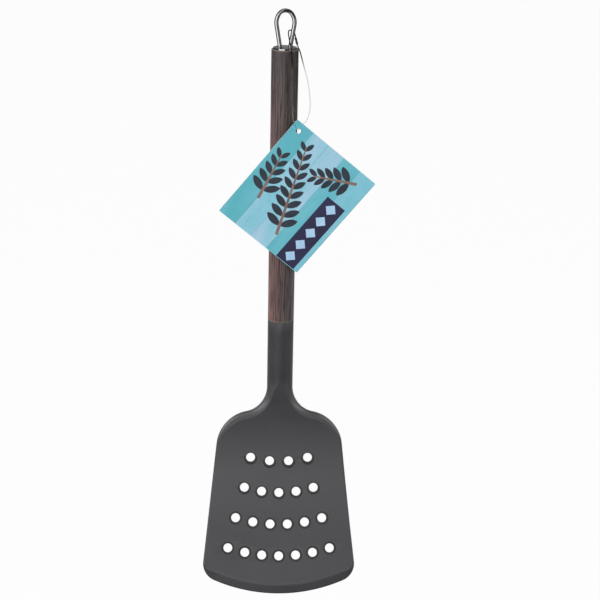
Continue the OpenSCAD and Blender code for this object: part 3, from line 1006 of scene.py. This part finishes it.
def flat_card():
    """The card's outline with its hole, filled and extruded, with its print's UV map."""
    bm = bmesh.new()
    corners = [bm.verts.new(on_card(u, v)) for u, v in
               ((0, 0), (CARD_L, 0), (CARD_L, CARD_W), (0, CARD_W))]
    bm.faces.new(corners)
    bmesh.ops.bevel(bm, geom=corners, offset=CARD_CORNER_R * MM, segments=3, profile=0.5,
                    affect="VERTICES", material=-1)
    bmesh.ops.delete(bm, geom=bm.faces[:], context="FACES_ONLY")
    bmesh.ops.create_circle(bm, segments=48, radius=CARD_HOLE_D / 2 * MM)
    bmesh.ops.triangle_fill(bm, edges=bm.edges, use_beauty=True)
    raised(bm, bm.faces[:], CARD_T)
    uv = bm.loops.layers.uv.new("card_mm")
    for loop in (loop for face in bm.faces for loop in face.loops):
        loop[uv].uv = (loop.vert.co - on_card(0, 0)).xy / MM
    return closed_up(bm)


card_bm = flat_card()
for face in card_bm.faces:
    face.material_index = 0 if face.normal.z > 0.5 else 1
bmesh.ops.transform(card_bm, matrix=CARD_HANG, verts=card_bm.verts)
card = finished(card_bm, "swing_tag_card", print_finish, "card", "coated_card", "tag_card")
card.data.materials.append(inks["uncoated_board"])

# %% [markdown]
# ## Printed shapes
#
# The band, the diamonds, the twigs and the leaves are films of ink 0.03 mm thick, so that they
# lie on the board without flickering into it. Diamonds and twigs lie one film higher, because
# they overprint the band and the leaves. A leaf is a circle squeezed to a point at both ends.
# Leaves sit in pairs along each twig, a hair apart at their roots, and shrink towards its end.

# %% Ink films
INK_T = 0.03
BAND_START, BAND_END, PRINT_BAND_W = (0.3, 9.5), (46, 9.5), 13
DIAMOND_COUNT, DIAMOND_U, DIAMOND_PITCH, DIAMOND_R = 5, 5.4, 8.9, 3.6
TWIGS = [((10, 24), (60, 44), 9), ((62, 8), (50, 30), 5), ((20, 46), (48, 52), 5)]
TWIG_FOOT_W, TWIG_TIP_W, TWIG_END_SHARE, ROOT_GAP = 1.8, 0.7, 0.4, 0.1
LEAF_A, LEAF_L, LEAF_W, LEAF_POINT = (62, 34), (11, 6), (4.6, 2.6), 0.8


def film(bm, verts, root, angle=0.0):
    """Turns flat verts, lays them on the card at a root, and gives them ink's thickness."""
    place = Matrix.Translation(on_card(*root, CARD_T)) @ Matrix.Rotation(angle, 4, "Z")
    bmesh.ops.transform(bm, matrix=place, verts=verts)
    raised(bm, list({face for vert in verts for face in vert.link_faces}), INK_T)


def strip(bm, start, end, start_w, end_w):
    """A straight tapered strip between two points of the card."""
    run = Vector(end) - Vector(start)
    verts = bmesh.ops.create_grid(bm, x_segments=1, y_segments=1, size=1)["verts"]
    for vert in verts:
        half_w = (start_w if vert.co.x < 0 else end_w) / 2
        vert.co = mm((vert.co.x + 1) / 2 * run.length, vert.co.y * half_w, 0)
    film(bm, verts, start, math.atan2(run.y, run.x))


def leaf(bm, root, angle, length, width):
    """A pointed leaf on the card, from its root outwards."""
    verts = bmesh.ops.create_circle(bm, segments=28, radius=1, cap_ends=True)["verts"]
    for vert in verts:
        slim = (1 - vert.co.x ** 2) ** LEAF_POINT
        vert.co = mm((vert.co.x + 1) / 2 * length, math.copysign(slim, vert.co.y) * width / 2, 0)
    film(bm, verts, root, angle)


def diamond(bm, centre, radius):
    """A square on its corner: a circle of four segments does it."""
    verts = bmesh.ops.create_circle(bm, segments=4, radius=radius * MM, cap_ends=True)["verts"]
    film(bm, verts, centre)


def leafy_twig(twigs, leaves, start, end, pairs):
    """A twig with its leaves in pairs, which turn forward and shrink towards its end."""
    strip(twigs, start, end, TWIG_FOOT_W, TWIG_TIP_W)
    run = Vector(end) - Vector(start)
    heading = math.atan2(run.y, run.x)
    for i in range(pairs):
        f = (i + 1) / (pairs + TWIG_END_SHARE)
        for side in (-1, 1):
            root = Vector(start) + run * f + run.orthogonal().normalized() * side * ROOT_GAP
            leaf(leaves, root, heading + side * math.radians(lerp(*LEAF_A, f)),
                 lerp(*LEAF_L, f), lerp(*LEAF_W, f))


def inked(bm, name, ink, layer=0):
    """Hangs a printed layer with the card, so many films of ink above the board."""
    bmesh.ops.translate(bm, vec=mm(0, 0, layer * INK_T), verts=bm.verts)
    bmesh.ops.recalc_face_normals(bm, faces=bm.faces)
    bmesh.ops.transform(bm, matrix=CARD_HANG, verts=bm.verts)
    return finished(bm, name, inks[ink], "card", "coated_card")


band, diamonds, twigs, leaves = (bmesh.new() for _ in range(4))
strip(band, BAND_START, BAND_END, PRINT_BAND_W, PRINT_BAND_W)
for i in range(DIAMOND_COUNT):
    diamond(diamonds, (DIAMOND_U + DIAMOND_PITCH * i, BAND_START[1]), DIAMOND_R)
for start, end, pairs in TWIGS:
    leafy_twig(twigs, leaves, start, end, pairs)
inked(band, "navy_band", "navy_ink")
inked(diamonds, "pale_diamonds", "pale_ink", layer=1)
inked(twigs, "brown_twigs", "twig_ink", layer=1)
inked(leaves, "slate_leaves", "slate_ink")

# %% [markdown]
# ## The studio
#
# Satin nylon and polished wire show mostly what stands around them, so a product photographer
# lights the surroundings and not the object: a large soft box high on the left, a weaker one
# on the right, another above, and a wide dim panel in front, behind the camera. Their sizes
# are angles as seen from the blade, because that is what a reflection shows. The sum on the
# object is near one, so a matte colour renders about as it is written.

# %% Lamps
LAMP_AIM = mm(0, -20, -265)
LAMP_DISTANCE, WATTS_PER_GLOW = 2.0, 4


def span(distance, degrees):
    """How wide a thing is that fills that angle from that distance."""
    return 2 * distance * math.tan(math.radians(degrees / 2))


def soft_box(name, side_deg, height_deg, wide_deg, tall_deg, glow):
    """An area lamp that fills those angles. A glow of 1 looks white."""
    lamp = in_scene(name, bpy.data.lights.new(name, "AREA"))
    wide, tall = (span(LAMP_DISTANCE, angle) for angle in (wide_deg, tall_deg))
    lamp.data.shape = "RECTANGLE"
    lamp.data.size, lamp.data.size_y = wide, tall
    lamp.data.energy = WATTS_PER_GLOW * wide * tall * glow
    lamp.matrix_world = facing(LAMP_AIM + direction(side_deg, height_deg) * LAMP_DISTANCE,
                               LAMP_AIM)
    lamp.visible_camera = False
    print(f"{name}: {wide:.2f} by {tall:.2f} m")


soft_box("left_box", -72, 32, 36, 34, 4.8)
soft_box("right_box", 70, 32, 34, 34, 3.0)
soft_box("overhead_box", -45, 72, 30, 30, 3.0)
soft_box("front_panel", -9, 2.5, 42, 25, 1.7)

# %% [markdown]
# ## Floor and sky
#
# The floor is a plain pale sheet far below. The camera, the metal and the clear string see it
# and the sky as white, with the turner's faint shadow, while the light that they throw on the
# object stays dim. The Light Path node makes that split.

# %% Floor and sky
FLOOR_Z, FLOOR_SIZE = -0.75, 40.0
FLOOR_WHITE_SHARE, SKY_LIGHT = 0.97, 0.22
WHITE = (1, 1, 1, 1)


def seen_directly(tree):
    """One for rays from the camera, from a mirror or through glass, and zero for soft light."""
    rays = add_node(tree, "ShaderNodeLightPath").outputs
    seen = calc(tree, "MAXIMUM", rays["Is Camera Ray"], rays["Is Glossy Ray"])
    return calc(tree, "MAXIMUM", seen, rays["Is Transmission Ray"])


def sheet(name, wide, tall, place, material):
    """A flat sheet of wide by tall metres, put in place by a matrix."""
    bm = bmesh.new()
    bmesh.ops.create_grid(bm, x_segments=1, y_segments=1, size=0.5)
    bmesh.ops.scale(bm, vec=(wide, tall, 1), verts=bm.verts)
    bmesh.ops.transform(bm, matrix=place, verts=bm.verts)
    made = as_object(bm, name)
    made.data.materials.append(material)
    return made


def pale_floor():
    """A plain pale floor that keeps the shadow."""
    material, tree = new_tree("pale_floor")
    matte = add_node(tree, "ShaderNodeBsdfDiffuse", {"Color": srgb("#c8c8c8")})
    white = add_node(tree, "ShaderNodeEmission", {"Color": WHITE, "Strength": 1})
    share = calc(tree, "MULTIPLY", seen_directly(tree), FLOOR_WHITE_SHARE)
    mix = add_node(tree, "ShaderNodeMixShader",
                   {0: share, 1: matte.outputs[0], 2: white.outputs[0]})
    add_node(tree, "ShaderNodeOutputMaterial", {"Surface": mix.outputs[0]})
    floor = sheet("floor", FLOOR_SIZE, FLOOR_SIZE, Matrix.Translation((0, 0, FLOOR_Z)),
                  material)


def sky():
    """A white surround that throws only a dim light."""
    world = bpy.data.worlds.new("sky")
    bpy.context.scene.world = world
    world.use_nodes = True
    tree = world.node_tree
    tree.nodes.clear()
    level = remapped(tree, seen_directly(tree), 0, 1, SKY_LIGHT, 1)
    plain = add_node(tree, "ShaderNodeBackground", {"Color": WHITE, "Strength": level})
    add_node(tree, "ShaderNodeOutputWorld", {"Surface": plain.outputs[0]})


pale_floor()
sky()
print("floor at", FLOOR_Z, "m, sky light", SKY_LIGHT)

# %% [markdown]
# ## Cards and cloths
#
# In a white room a mirror-bright wire would vanish. Photographers stand grey and black cards
# close round it, just out of the picture: their reflections draw the wire's dark lines, and
# one bright card draws its highlight. Three cloths on the floor do the same for the nylon. The
# black one in front darkens the neck, which would otherwise look as pale as the blade, and the
# grey ones at the sides set off its edges. All of them work on reflections alone: they take no
# light away, and the camera looks straight through them.

# %% Cards and cloths
LOOP_MIDDLE = mm(0, 0, -8)
CARD_DISTANCE = 100 * MM
CLOTH_LIFT = 0.01
# Name, x, y, width and length in metres, tone
CLOTHS = [("front_cloth", 0.35, -1.9, 1.7, 2.8, "#101010"),
          ("left_cloth", -1.9, 0.5, 2.2, 3.6, "#8c8c8c"),
          ("right_cloth", 2.1, 0.5, 2.2, 3.6, "#747474")]
# Name, side, height, width and tallness in degrees, tone, glow
LOOP_CARDS = [("card_front", 17, 10, 46, 80, "#2a2a2a", 1),
              ("card_pale", -34, -8, 54, 36, "#ffffff", 2.8),
              ("card_left", -126, -1, 124, 50, "#585858", 1),
              ("card_right", 122, -1, 112, 50, "#606060", 1),
              ("card_back", 180, 10, 90, 30, "#909090", 1),
              ("card_high", 72, 44, 84, 70, "#505050", 1),
              ("card_high_left", -112, 46, 104, 56, "#8c8c8c", 1),
              ("card_top", 0, 90, 62, 62, "#b0b0b0", 1)]


def toned_card(name, place, aim, wide, tall, tone, glow=1):
    """A card of wide by tall metres that faces the aim and shows only in reflections."""
    material, tree = new_tree(name)
    light = add_node(tree, "ShaderNodeEmission", {"Color": srgb(tone), "Strength": glow})
    add_node(tree, "ShaderNodeOutputMaterial", {"Surface": light.outputs[0]})
    card = sheet(name, wide, tall, facing(place, aim), material)
    card.visible_camera = card.visible_diffuse = card.visible_shadow = False
    card.visible_transmission = card.visible_volume_scatter = False


for name, x, y, wide, long, tone in CLOTHS:
    toned_card(name, Vector((x, y, FLOOR_Z + CLOTH_LIFT)), Vector((x, y, 1)), wide, long, tone)
for name, side, height, wide_deg, tall_deg, tone, glow in LOOP_CARDS:
    toned_card(name, LOOP_MIDDLE + direction(side, height) * CARD_DISTANCE, LOOP_MIDDLE,
               span(CARD_DISTANCE, wide_deg), span(CARD_DISTANCE, tall_deg), tone, glow)
bpy.context.scene.view_settings.view_transform = "Standard"
print("cards and cloths:", len(CLOTHS) + len(LOOP_CARDS))
